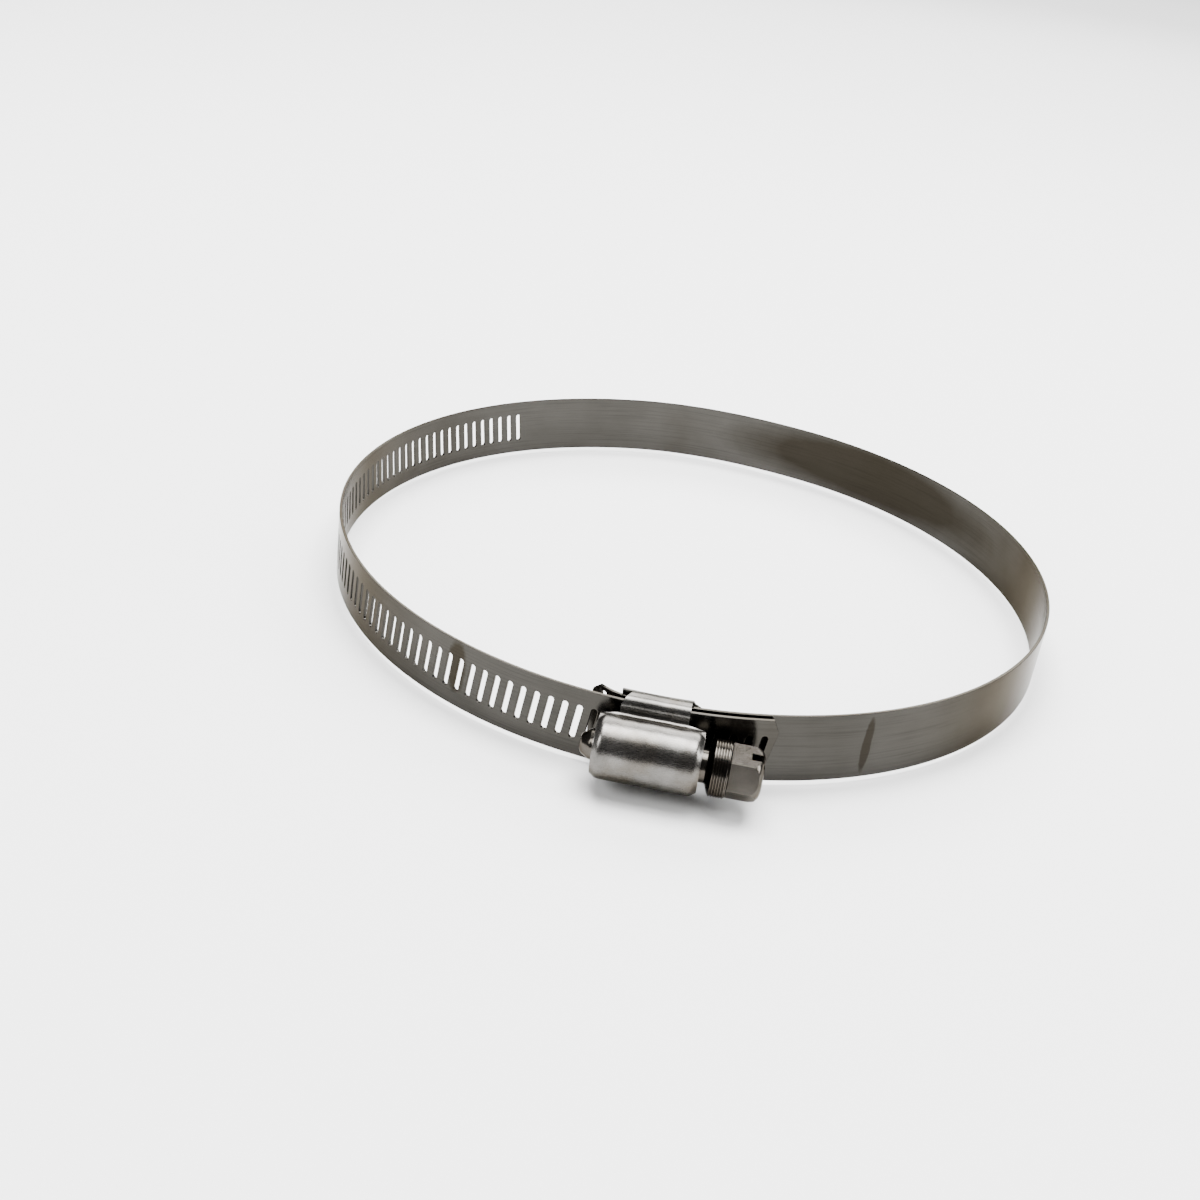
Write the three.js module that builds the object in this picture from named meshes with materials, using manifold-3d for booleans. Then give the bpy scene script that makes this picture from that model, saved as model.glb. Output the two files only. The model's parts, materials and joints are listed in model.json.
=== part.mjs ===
// Worm-drive hose clamp: a slotted band, a formed housing with its saddle, and a screw.
// Millimetres, +Z up. The loop lies flat, the housing is toward -Y and the screw runs along X.
// The band is a chain of short rigid sections, hinged to each other on upright axes.
import * as THREE from 'three';
import Module from 'manifold-3d';

// ---- driving dimensions ----
const BAND_WIDTH = 12.7;
const BAND_THICKNESS = 0.6;
const LOOP_RADIUS = 70.3; // middle of the band's thickness on the plain side, fully open
const LAYER_GAP = 0.9; // between the fixed end and the slotted strip that passes over it
const SLOT_PITCH = 2.54;
const SLOT_LENGTH = 6.6;
const SLOT_WIDTH = 1.05;
const SLOT_LEAN = THREE.MathUtils.degToRad(7.5);
const SLOTS_PER_SECTION = 6;
const BLANK_SLOTS = 3; // places left unslotted where the slots begin
const SLOTTED_SECTIONS = 12;
const PLAIN_SECTIONS = 12;
const STEP_SECTION = 10; // the plain section that steps out to the slotted strip's radius
const SECTION_GAP = 0.3;
const FIRST_HINGE = 8.0; // arc from the housing's middle to the first hinge
const TAIL_HINGE = 1.3; // arc from the housing's middle to the tail's hinge
const TAIL_TIP = 20.4; // arc from the housing's middle to the tail's tip
const TAIL_SLOTS = 7;
const TAB_END = 11.2; // the fixed end's tab, left of the housing's middle
const TAB_BEND = 6.3;
const TAB_SLOPE = 0.3;
const TAIL_OUTLINE = [[-1.15, 6.35], [0, 3.9], [-1.8, -4.6], [-3.1, -6.35]];
const TAB_OUTLINE = [[-1.4, 6.35], [0, 4.7], [0, -4.7], [-1.4, -6.35]];

const SCREW_RADIUS_AT = 76.45; // screw axis from the loop's centre
const THREAD_RADIUS = 3.95;
const ROOT_RADIUS = 2.95;
const COLLAR_RADIUS = 4.7;
const HEX_FLATS = 8.0;
const HEX_TURN = THREE.MathUtils.degToRad(43.5); // a corner, from +Z toward -Y
const HEAD_END = 18.6;
const SLOT_DEPTH = 2.3;
const HEAD_SLOT = 1.4;

const SHEET = 0.75; // housing sheet
const BARREL_RADIUS = 4.9; // middle of the sheet
const BARREL_HALF = 8.5;
const LIP_HALF = 5.6;
const LIP_RADIUS = 1.2;
const LIP_Z = 7.03; // middle of the lips' sheet, from the band's middle
const LIP_REAR = 70.2;
const VALLEY_RADIUS = 1.1;
const VALLEY_TURN = 115;
const SADDLE_SHEET = 0.5;
const SADDLE_OUTER = 69.65;
const SADDLE_FLOOR = [-5.9, 7.2];
const FLANGE_TOP = 69.9;
const FLANGE_Z = 6.6;

const STRIP_RADIUS = LOOP_RADIUS + BAND_THICKNESS + LAYER_GAP;

const wasm = await Module();
wasm.setup();

// ---- solids ----
function solid(geometry) {
  const bare = geometry.index ? geometry.toNonIndexed() : geometry.clone();
  const spots = new Map();
  const points = [];
  const corners = [];
  const position = bare.getAttribute('position');
  for (let i = 0; i < position.count; i += 1) {
    const at = [position.getX(i), position.getY(i), position.getZ(i)];
    const key = at.map((value) => Math.round(value * 1e5)).join(',');
    if (!spots.has(key)) {
      spots.set(key, points.length / 3);
      points.push(...at);
    }
    corners.push(spots.get(key));
  }
  const triangles = [];
  for (let i = 0; i < corners.length; i += 3) {
    const [a, b, c] = corners.slice(i, i + 3);
    if (a !== b && b !== c && c !== a) {
      triangles.push(a, b, c);
    }
  }
  return new wasm.Manifold(
    new wasm.Mesh({
      numProp: 3,
      vertProperties: new Float32Array(points),
      triVerts: new Uint32Array(triangles),
    }),
  );
}

function geometryOf(manifold) {
  const mesh = manifold.getMesh();
  const geometry = new THREE.BufferGeometry();
  geometry.setAttribute('position', new THREE.BufferAttribute(mesh.vertProperties, 3));
  geometry.setIndex(new THREE.BufferAttribute(mesh.triVerts, 1));
  const flat = geometry.toNonIndexed();
  flat.computeVertexNormals();
  return flat;
}

function shapeOf(points) {
  return new THREE.Shape(points.map(([x, y]) => new THREE.Vector2(x, y)));
}

function extruded(points, depth) {
  return new THREE.ExtrudeGeometry(shapeOf(points), { depth, bevelEnabled: false });
}

// ---- the band ----
// The loop is followed by its angle, from the housing's middle (0, toward -Y) counter-clockwise.
const slottedStart = 2 * Math.PI
  + (TAIL_HINGE - SLOTTED_SECTIONS * SLOTS_PER_SECTION * SLOT_PITCH) / STRIP_RADIUS;
const plainStart = FIRST_HINGE / LOOP_RADIUS;
const plainStep = (slottedStart - plainStart) / PLAIN_SECTIONS;
const slottedStep = (SLOTS_PER_SECTION * SLOT_PITCH) / STRIP_RADIUS;
const tailStart = 2 * Math.PI + TAIL_HINGE / STRIP_RADIUS;
const tailEnd = 2 * Math.PI + TAIL_TIP / STRIP_RADIUS;

function loopRadius(angle) {
  const from = plainStart + plainStep * STEP_SECTION;
  const to = plainStart + plainStep * (STEP_SECTION + 1);
  return LOOP_RADIUS + (STRIP_RADIUS - LOOP_RADIUS) * THREE.MathUtils.smoothstep(angle, from, to);
}

function fixedRadius(angle) {
  const beyond = Math.max(0, -angle * LOOP_RADIUS - TAB_BEND);
  return LOOP_RADIUS - TAB_SLOPE * beyond - 0.03 * beyond * beyond;
}

function polar(radius, angle) {
  return [radius * Math.sin(angle), -radius * Math.cos(angle)];
}

// The outline of a stretch of band seen from above, thickness laid square to its middle line.
function bandOutline(radiusAt, from, to, steps) {
  const outer = [];
  const inner = [];
  const small = 1e-3;
  for (let i = 0; i <= steps; i += 1) {
    const angle = from + ((to - from) * i) / steps;
    const [x, y] = polar(radiusAt(angle), angle);
    const [x1, y1] = polar(radiusAt(angle - small), angle - small);
    const [x2, y2] = polar(radiusAt(angle + small), angle + small);
    const length = Math.hypot(x2 - x1, y2 - y1);
    const across = [(y2 - y1) / length, -(x2 - x1) / length];
    const half = BAND_THICKNESS / 2;
    outer.push([x + across[0] * half, y + across[1] * half]);
    inner.push([x - across[0] * half, y - across[1] * half]);
  }
  return [...outer, ...inner.reverse()];
}

function bandStretch(radiusAt, from, to, steps) {
  const geometry = extruded(bandOutline(radiusAt, from, to, steps), BAND_WIDTH);
  geometry.translate(0, 0, -BAND_WIDTH / 2);
  return solid(geometry);
}

// A cutter standing across the band at an angle of the loop: an (along, up) outline pushed outward.
function acrossBand(points, angle, radius) {
  const depth = 6;
  const geometry = extruded(points, depth);
  geometry.translate(0, 0, -depth / 2);
  const along = new THREE.Vector3(Math.cos(angle), Math.sin(angle), 0);
  const outward = new THREE.Vector3(Math.sin(angle), -Math.cos(angle), 0);
  const up = new THREE.Vector3(0, 0, 1);
  const place = new THREE.Matrix4().makeBasis(along, up, outward);
  place.setPosition(outward.clone().multiplyScalar(radius));
  geometry.applyMatrix4(place);
  return solid(geometry);
}

function slotOutline() {
  const points = [];
  const end = SLOT_LENGTH / 2 - SLOT_WIDTH / 2;
  for (const side of [1, -1]) {
    for (let i = 0; i <= 3; i += 1) {
      const turn = (i * Math.PI) / 3 + (side > 0 ? 0 : Math.PI);
      const x = (SLOT_WIDTH / 2) * Math.cos(turn);
      const y = (SLOT_WIDTH / 2) * Math.sin(turn) + side * end;
      points.push([
        x * Math.cos(SLOT_LEAN) + y * Math.sin(SLOT_LEAN),
        y * Math.cos(SLOT_LEAN) - x * Math.sin(SLOT_LEAN),
      ]);
    }
  }
  return points;
}

function slotAt(angle) {
  return acrossBand(slotOutline(), angle, STRIP_RADIUS);
}

// Trims a band end to an outline of (along from the tip, up) points, from the top edge down.
// The direction is 1 where the end points counter-clockwise and -1 where it points clockwise.
function trimmed(stretch, outline, angle, radius, direction) {
  const top = outline[0];
  const bottom = outline[outline.length - 1];
  const beyond = BAND_WIDTH / 2 + 2;
  const around = [[bottom[0], -beyond], [4, -beyond], [4, beyond], [top[0], beyond], ...outline];
  const placed = around.map(([along, up]) => [direction * along, up]);
  const ordered = direction > 0 ? placed : placed.reverse();
  return stretch.subtract(acrossBand(ordered, angle, radius));
}

function plainSection(index) {
  const from = plainStart + plainStep * index;
  const trim = SECTION_GAP / 2 / LOOP_RADIUS;
  return bandStretch(loopRadius, from + trim, from + plainStep - trim, 8);
}

function slottedSection(index) {
  const from = slottedStart + slottedStep * index;
  const trim = SECTION_GAP / 2 / STRIP_RADIUS;
  const pitch = SLOT_PITCH / STRIP_RADIUS;
  let section = bandStretch(loopRadius, from + trim, from + slottedStep - trim, 6);
  for (let i = index === 0 ? BLANK_SLOTS : 0; i < SLOTS_PER_SECTION; i += 1) {
    section = section.subtract(slotAt(from + (i + 0.5) * pitch));
  }
  return section;
}

function tail() {
  const pitch = SLOT_PITCH / STRIP_RADIUS;
  let section = bandStretch(loopRadius, tailStart + SECTION_GAP / 2 / STRIP_RADIUS, tailEnd, 9);
  for (let i = 0; i < TAIL_SLOTS; i += 1) {
    section = section.subtract(slotAt(tailStart + (i + 0.5) * pitch));
  }
  return trimmed(section, TAIL_OUTLINE, tailEnd, STRIP_RADIUS, 1);
}

function fixedEnd() {
  const from = -TAB_END / LOOP_RADIUS;
  const stretch = bandStretch(fixedRadius, from, plainStart - SECTION_GAP / 2 / LOOP_RADIUS, 16);
  const holeRing = [];
  for (let i = 0; i < 12; i += 1) {
    const turn = (i * Math.PI) / 6;
    holeRing.push([0.5 * Math.cos(turn), 5.1 + 0.5 * Math.sin(turn)]);
  }
  const pierced = stretch.subtract(acrossBand(holeRing, -8.9 / LOOP_RADIUS, LOOP_RADIUS - 1));
  return trimmed(pierced, TAB_OUTLINE, from, LOOP_RADIUS, -1);
}

// ---- the housing and the saddle ----
// Profiles are (outward from the loop's centre, up) and are pushed along X.
function alongX(points, from, to) {
  const geometry = extruded(points, to - from);
  const place = new THREE.Matrix4().makeBasis(
    new THREE.Vector3(0, -1, 0),
    new THREE.Vector3(0, 0, 1),
    new THREE.Vector3(-1, 0, 0),
  );
  place.setPosition(to, 0, 0);
  geometry.applyMatrix4(place);
  return solid(geometry);
}

function arc(centre, radius, fromDegrees, toDegrees, steps) {
  const points = [];
  for (let i = 0; i <= steps; i += 1) {
    const turn = THREE.MathUtils.degToRad(fromDegrees + ((toDegrees - fromDegrees) * i) / steps);
    points.push([centre[0] + radius * Math.cos(turn), centre[1] + radius * Math.sin(turn)]);
  }
  return points;
}

// Gives a middle line its thickness.
function thicken(line, thickness) {
  const left = [];
  const right = [];
  line.forEach((point, i) => {
    const before = line[Math.max(0, i - 1)];
    const after = line[Math.min(line.length - 1, i + 1)];
    const length = Math.hypot(after[0] - before[0], after[1] - before[1]);
    const square = [-(after[1] - before[1]) / length, (after[0] - before[0]) / length];
    left.push([point[0] + (square[0] * thickness) / 2, point[1] + (square[1] * thickness) / 2]);
    right.push([point[0] - (square[0] * thickness) / 2, point[1] - (square[1] * thickness) / 2]);
  });
  return [...left, ...right.reverse()];
}

function upperHousingLine() {
  const centre = [SCREW_RADIUS_AT, 0];
  const turn = THREE.MathUtils.degToRad(VALLEY_TURN);
  const valley = [
    centre[0] + (BARREL_RADIUS + VALLEY_RADIUS) * Math.cos(turn),
    (BARREL_RADIUS + VALLEY_RADIUS) * Math.sin(turn),
  ];
  const shoulder = valley[0] - VALLEY_RADIUS;
  return [
    ...arc(centre, BARREL_RADIUS, 0, VALLEY_TURN, 12),
    ...arc(valley, VALLEY_RADIUS, VALLEY_TURN + 180, 180, 4).slice(1),
    ...arc([shoulder - LIP_RADIUS, LIP_Z - LIP_RADIUS], LIP_RADIUS, 0, 90, 5),
    [LIP_REAR, LIP_Z],
  ];
}

function mirrored(line) {
  return line.map(([u, v]) => [u, -v]).reverse();
}

function housing() {
  const upper = upperHousingLine();
  const whole = [...mirrored(upper).slice(0, -1), ...upper];
  const shell = alongX(thicken(whole, SHEET), -LIP_HALF, LIP_HALF);
  const barrelLine = arc([SCREW_RADIUS_AT, 0], BARREL_RADIUS, -VALLEY_TURN, VALLEY_TURN, 24);
  const barrel = alongX(thicken(barrelLine, SHEET), -BARREL_HALF, BARREL_HALF);
  return barrel.add(shell);
}

function saddle() {
  const from = -90 + THREE.MathUtils.radToDeg(SADDLE_FLOOR[0] / SADDLE_OUTER);
  const to = -90 + THREE.MathUtils.radToDeg(SADDLE_FLOOR[1] / SADDLE_OUTER);
  const half = SADDLE_SHEET / 2;
  const width = 2 * (FLANGE_Z + SADDLE_SHEET);
  const floorPoints = [
    ...arc([0, 0], SADDLE_OUTER, from, to, 10),
    ...arc([0, 0], SADDLE_OUTER - SADDLE_SHEET, to, from, 10),
  ];
  const floorGeometry = extruded(floorPoints, width);
  floorGeometry.translate(0, 0, -width / 2);
  let result = solid(floorGeometry);
  for (const side of [1, -1]) {
    const height = FLANGE_TOP - SADDLE_OUTER + half;
    const flange = new THREE.BoxGeometry(-2 * SADDLE_FLOOR[0], height, SADDLE_SHEET);
    flange.translate(0, -(FLANGE_TOP + SADDLE_OUTER - half) / 2, side * (FLANGE_Z + half));
    result = result.add(solid(flange));
  }
  const rounded = [
    ...arc([SADDLE_OUTER, FLANGE_Z], SADDLE_SHEET, 180, 90, 3),
    [FLANGE_TOP + 1, FLANGE_Z + SADDLE_SHEET],
  ];
  const keep = [...mirrored(rounded), ...rounded];
  return result.intersect(alongX(keep.reverse(), -20, 20)).add(result.intersect(sideBlock()));
}

// The floor's ends past the flanges keep their square edges.
function sideBlock() {
  const block = new THREE.BoxGeometry(1.2, 4, 12);
  block.translate(6.6, -69, 0);
  return solid(block);
}

// ---- the screw ----
// Built along +Z from its tip, then laid along +X.
function layAlongX(geometry) {
  geometry.applyMatrix4(new THREE.Matrix4().makeBasis(
    new THREE.Vector3(0, 1, 0),
    new THREE.Vector3(0, 0, 1),
    new THREE.Vector3(1, 0, 0),
  ));
  geometry.translate(0, -SCREW_RADIUS_AT, 0);
  return geometry;
}

function turned(profile, segments) {
  const points = profile.map(([x, radius]) => new THREE.Vector2(radius, x));
  const lathe = new THREE.LatheGeometry(points, segments);
  lathe.applyMatrix4(new THREE.Matrix4().makeBasis(
    new THREE.Vector3(1, 0, 0),
    new THREE.Vector3(0, 0, 1),
    new THREE.Vector3(0, -1, 0),
  ));
  return solid(layAlongX(lathe));
}

const THREAD_FROM = -7.9;
const THREAD_TO = 7.9;

function threadHeight(x, turn) {
  const phase = x / SLOT_PITCH - turn / (2 * Math.PI);
  const place = Math.abs(phase - Math.round(phase)) * 2;
  const flank = 1 - THREE.MathUtils.smoothstep(place, 0.28, 0.72);
  const fade = THREE.MathUtils.smoothstep(x, THREAD_FROM, THREAD_FROM + 1.6)
    * (1 - THREE.MathUtils.smoothstep(x, THREAD_TO - 1.6, THREAD_TO));
  return ROOT_RADIUS + (THREAD_RADIUS - ROOT_RADIUS) * flank * fade;
}

function thread() {
  const length = THREAD_TO - THREAD_FROM;
  const rows = Math.round((length / SLOT_PITCH) * 7);
  const geometry = new THREE.CylinderGeometry(1, 1, length, 20, rows);
  geometry.rotateX(Math.PI / 2);
  const position = geometry.getAttribute('position');
  for (let i = 0; i < position.count; i += 1) {
    const away = Math.hypot(position.getX(i), position.getY(i));
    if (away > 0.5) {
      const turn = Math.atan2(position.getY(i), position.getX(i));
      const x = position.getZ(i) + (THREAD_FROM + THREAD_TO) / 2;
      const radius = threadHeight(x, turn);
      position.setXY(i, radius * Math.cos(turn), radius * Math.sin(turn));
    }
  }
  geometry.translate(0, 0, (THREAD_FROM + THREAD_TO) / 2);
  return solid(layAlongX(geometry));
}

function ridges(from, to, count) {
  const profile = [];
  for (let i = 0; i < count; i += 1) {
    const at = from + ((to - from) * i) / count;
    const step = (to - from) / count;
    profile.push([at + 0.15 * step, COLLAR_RADIUS], [at + 0.6 * step, COLLAR_RADIUS]);
    profile.push([at + 0.85 * step, COLLAR_RADIUS - 0.14]);
  }
  return profile;
}

function screw() {
  const body = turned([
    [-10.9, 0],
    [-10.9, 1.3],
    [-10.5, 1.75],
    [-9.3, 2.5],
    [-8.6, 2.6],
    [-8.3, 2.75],
    [9.6, 2.75],
    [9.9, 3.7],
    [10.35, 4.45],
    ...ridges(10.5, 13.0, 5),
    [13.2, 4.3],
    [13.6, 4.0],
    [13.6, 0],
  ], 28);
  const hexRadius = HEX_FLATS / Math.sqrt(3);
  const hex = new THREE.CylinderGeometry(hexRadius, hexRadius, HEAD_END - 13.1, 6);
  hex.rotateX(Math.PI / 2);
  hex.translate(0, 0, (HEAD_END + 13.1) / 2);
  hex.rotateZ(HEX_TURN);
  const dome = turned([
    [13.0, 0],
    [13.0, 4.5],
    [13.35, hexRadius + 0.05],
    [HEAD_END - 1.5, hexRadius + 0.05],
    [HEAD_END - 0.75, 4.2],
    [HEAD_END - 0.2, 3.55],
    [HEAD_END, 2.9],
    [HEAD_END, 0],
  ], 30);
  const slotDirection = HEX_TURN - Math.PI / 6;
  const slot = new THREE.BoxGeometry(SLOT_DEPTH + 1, HEAD_SLOT, 12);
  slot.rotateX(slotDirection);
  slot.translate(HEAD_END + 0.5 - SLOT_DEPTH / 2, -SCREW_RADIUS_AT, 0);
  const head = solid(layAlongX(hex)).intersect(dome);
  return body.add(thread()).add(head).subtract(solid(slot));
}

// ---- assembly ----
function settle(group) {
  const box = new THREE.Box3().setFromObject(group);
  const centre = box.getCenter(new THREE.Vector3());
  group.children.forEach((mesh) => mesh.geometry.translate(-centre.x, -centre.y, -box.min.z));
}

function build() {
  const group = new THREE.Group();
  group.name = 'hose_clamp';
  const addPiece = (name, manifold, color, roughness) => {
    const material = new THREE.MeshStandardMaterial({ color, metalness: 1, roughness });
    const mesh = new THREE.Mesh(geometryOf(manifold), material);
    mesh.name = name;
    group.add(mesh);
  };
  addPiece('housing', housing(), 0xb9b7b2, 0.35);
  addPiece('saddle', saddle(), 0xa5a39e, 0.4);
  addPiece('screw', screw(), 0x9c968c, 0.3);
  addPiece('band_fixed_end', fixedEnd(), 0x8f8d88, 0.35);
  for (let i = 0; i < PLAIN_SECTIONS; i += 1) {
    addPiece(`band_plain_${String(i + 1).padStart(2, '0')}`, plainSection(i), 0x8f8d88, 0.35);
  }
  for (let i = 0; i < SLOTTED_SECTIONS; i += 1) {
    addPiece(`band_slotted_${String(i + 1).padStart(2, '0')}`, slottedSection(i), 0x8f8d88, 0.35);
  }
  addPiece('band_tail', tail(), 0x8f8d88, 0.35);
  settle(group);
  return group;
}

export default build();
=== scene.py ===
"""Looks for the worm-drive hose clamp: band, housing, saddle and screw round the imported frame."""

import json
import math

import bmesh
import bpy
import numpy as np
from mathutils import Matrix, Vector, geometry


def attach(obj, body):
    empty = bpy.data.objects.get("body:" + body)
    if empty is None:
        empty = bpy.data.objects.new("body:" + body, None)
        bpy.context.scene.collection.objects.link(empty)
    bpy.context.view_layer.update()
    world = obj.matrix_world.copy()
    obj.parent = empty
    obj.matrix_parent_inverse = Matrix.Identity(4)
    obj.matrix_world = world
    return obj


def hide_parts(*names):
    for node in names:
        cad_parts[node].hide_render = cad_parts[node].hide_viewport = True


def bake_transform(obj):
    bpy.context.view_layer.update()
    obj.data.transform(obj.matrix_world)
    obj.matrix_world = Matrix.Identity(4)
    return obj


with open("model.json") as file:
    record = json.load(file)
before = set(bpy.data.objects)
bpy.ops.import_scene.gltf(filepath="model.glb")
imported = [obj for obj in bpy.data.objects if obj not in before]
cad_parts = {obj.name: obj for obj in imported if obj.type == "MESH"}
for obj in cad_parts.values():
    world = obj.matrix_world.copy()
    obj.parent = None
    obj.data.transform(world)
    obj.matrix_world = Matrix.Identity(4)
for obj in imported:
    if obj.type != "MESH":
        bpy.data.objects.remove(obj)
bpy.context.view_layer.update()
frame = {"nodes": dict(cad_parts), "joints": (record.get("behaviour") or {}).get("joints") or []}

MM = 0.001

# ---- sizes, in millimetres, as in the CAD ----
BAND_WIDTH = 12.7
BAND_THICKNESS = 0.6
LOOP_RADIUS = 70.3
LAYER_GAP = 0.9
STRIP_RADIUS = LOOP_RADIUS + BAND_THICKNESS + LAYER_GAP
RADIAN_MM = STRIP_RADIUS  # places along the band are given in millimetres of strip
SLOT_PITCH = 2.54
SLOT_LENGTH = 6.6
SLOT_WIDTH = 1.05
SLOT_LEAN = math.radians(7.5)
BLANK_SLOTS = 3
TAIL_TIP = 20.4
TAIL_SLOTS = 7
TAB_END = 11.2
TAB_BEND = 6.3
SCREW_AT = 76.45
THREAD_RADIUS = 3.95
ROOT_RADIUS = 2.95
COLLAR_RADIUS = 4.7
HEX_FLATS = 8.0
HEX_TURN = math.radians(43.5)
HEAD_END = 18.6
HEAD_SLOT = 1.4
HEAD_SLOT_DEPTH = 2.3
SHEET = 0.75
BARREL_RADIUS = 4.9

joints = {j["name"]: j for j in frame["joints"]}
screw_pos = joints["screw_turn"]["pos_m"]
CENTRE = np.array([screw_pos[0] / MM, screw_pos[1] / MM + SCREW_AT, screw_pos[2] / MM])
bends = [joints[name] for name in sorted(n for n in joints if n.startswith("bend_"))]


def loop_angle(joint):
    """Angle of a hinge round the loop, from the housing's middle, counter-clockwise."""
    x = joint["pos_m"][0] / MM - CENTRE[0]
    y = joint["pos_m"][1] / MM - CENTRE[1]
    return math.atan2(x, -y) % (2 * math.pi)


hinges = [loop_angle(j) for j in bends]
hinges[-1] += 2 * math.pi
plain_count = sum(1 for name in frame["nodes"] if name.startswith("band_plain_"))
slotted_count = sum(1 for name in frame["nodes"] if name.startswith("band_slotted_"))
slots_per_section = round(
    (hinges[-1] - hinges[plain_count]) * STRIP_RADIUS / SLOT_PITCH / slotted_count
)
# between these angles the loop opens out from the plain side's radius to the strip's
STEP_FROM = 206.0 / RADIAN_MM
STEP_TO = 247.0 / RADIAN_MM
TAIL_END = 2 * math.pi + TAIL_TIP / STRIP_RADIUS


def loop_radius(angle):
    """Radius of the middle of the band: the plain side runs inside, the slotted strip outside."""
    t = np.clip((angle - STEP_FROM) / (STEP_TO - STEP_FROM), 0, 1)
    return LOOP_RADIUS + (STRIP_RADIUS - LOOP_RADIUS) * t * t * (3 - 2 * t)


TAB_SLOPE = 0.3
TAB_CURVE = 0.03


def fixed_radius(angle):
    """Radius of the fixed end, whose tab turns inward past the housing."""
    beyond = np.maximum(0, -angle * LOOP_RADIUS - TAB_BEND)
    return LOOP_RADIUS - TAB_SLOPE * beyond - TAB_CURVE * beyond * beyond


def on_loop(radius_at, angle, up, out):
    """Points (n, 3) in metres and the frame vectors along and outward there."""
    small = 1e-3

    def ring(a):
        return np.stack([radius_at(a) * np.sin(a), -radius_at(a) * np.cos(a)], -1)

    along = ring(angle + small) - ring(angle - small)
    along /= np.linalg.norm(along, axis=-1, keepdims=True)
    outward = np.stack([along[:, 1], -along[:, 0]], -1)
    flat = ring(angle) + outward * out[:, None]
    points = np.concatenate([flat, up[:, None]], 1) + CENTRE
    return points * MM, along, outward


# ---- mesh helpers ----
def mesh_object(name, points, faces, loop_normals=None, uv=None, material=None):
    mesh = bpy.data.meshes.new(name)
    mesh.from_pydata([tuple(p) for p in points], [], [tuple(int(i) for i in f) for f in faces])
    mesh.polygons.foreach_set("use_smooth", [True] * len(mesh.polygons))
    if uv is not None:
        layer = mesh.uv_layers.new(name="strip")
        index = np.zeros(len(mesh.loops), int)
        mesh.loops.foreach_get("vertex_index", index)
        layer.data.foreach_set("uv", np.asarray(uv)[index].ravel())
    if loop_normals is not None:
        mesh.normals_split_custom_set([tuple(n) for n in loop_normals])
    obj = bpy.data.objects.new(name, mesh)
    bpy.context.scene.collection.objects.link(obj)
    if material is not None:
        mesh.materials.append(material)
    return obj


def bake_modifiers(obj):
    """Replaces the mesh by its modified one."""
    graph = bpy.context.evaluated_depsgraph_get()
    mesh = bpy.data.meshes.new_from_object(obj.evaluated_get(graph))
    obj.modifiers.clear()
    obj.data = mesh
    return obj


# ---- band plates ----
EDGE_BEVEL = 0.1
EDGE_STEP = 1.27
BEND_REACH = 5.0  # distance either side of a hinge; the first strip piece starts this far before the first hinge
NEARLY_STRAIGHT = 0.05  # sine of the turn below which a corner counts as straight
ROUND_CORNER = 0.7  # cosine of the turn above which a corner is shaded round
SEED_ROWS = (-5.3, -4.2, -2.1, 0, 2.1, 4.2, 5.3)
SEED_CLEAR = 0.3
HOLE_CLEAR = 0.5
UV_PER_METRE = 10


def loop_offsets(loop, widths):
    """Outward normals of a loop's edges, and the loop moved inward by each edge's width."""
    count = len(loop)
    edges = np.roll(loop, -1, 0) - loop
    edges /= np.linalg.norm(edges, axis=1, keepdims=True)
    normals = np.stack([edges[:, 1], -edges[:, 0]], -1)
    moved = np.zeros_like(loop)
    for i in range(count):
        n1, n2 = normals[i - 1], normals[i]
        w1, w2 = widths[i - 1], widths[i]
        det = n1[0] * n2[1] - n1[1] * n2[0]
        if abs(det) < NEARLY_STRAIGHT:
            shift = -(n1 + n2) / 2 * max(w1, w2)
        else:
            a, b = -w1, -w2
            shift = np.array([(a * n2[1] - b * n1[1]) / det, (n1[0] * b - n2[0] * a) / det])
        moved[i] = loop[i] + shift
    return normals, moved


def flat_mesh(inner, starts, seeds):
    """Triangles that fill the outline but not the holes, and where each loop point went."""
    flat = [Vector(p) for loop in inner for p in loop] + [Vector(p) for p in seeds]
    edges = []
    for loop, start in zip(inner, starts):
        edges += [(start + i, start + (i + 1) % len(loop)) for i in range(len(loop))]
    corners, _, triangles, origins, _, _ = geometry.delaunay_2d_cdt(flat, edges, [], 0, 1e-5)
    place = {old: new for new, olds in enumerate(origins) for old in olds}
    coords = np.array([tuple(v) for v in corners])
    kept = []
    for triangle in triangles:
        middle = coords[list(triangle)].mean(0)
        if inside(middle, inner[0]) and not any(inside(middle, h) for h in inner[1:]):
            (ax, ay), (bx, by) = coords[list(triangle[1:])] - coords[triangle[0]]
            turned = list(triangle) if ax * by > ay * bx else list(triangle)[::-1]
            kept.append(turned)
    return coords, kept, place


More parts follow.
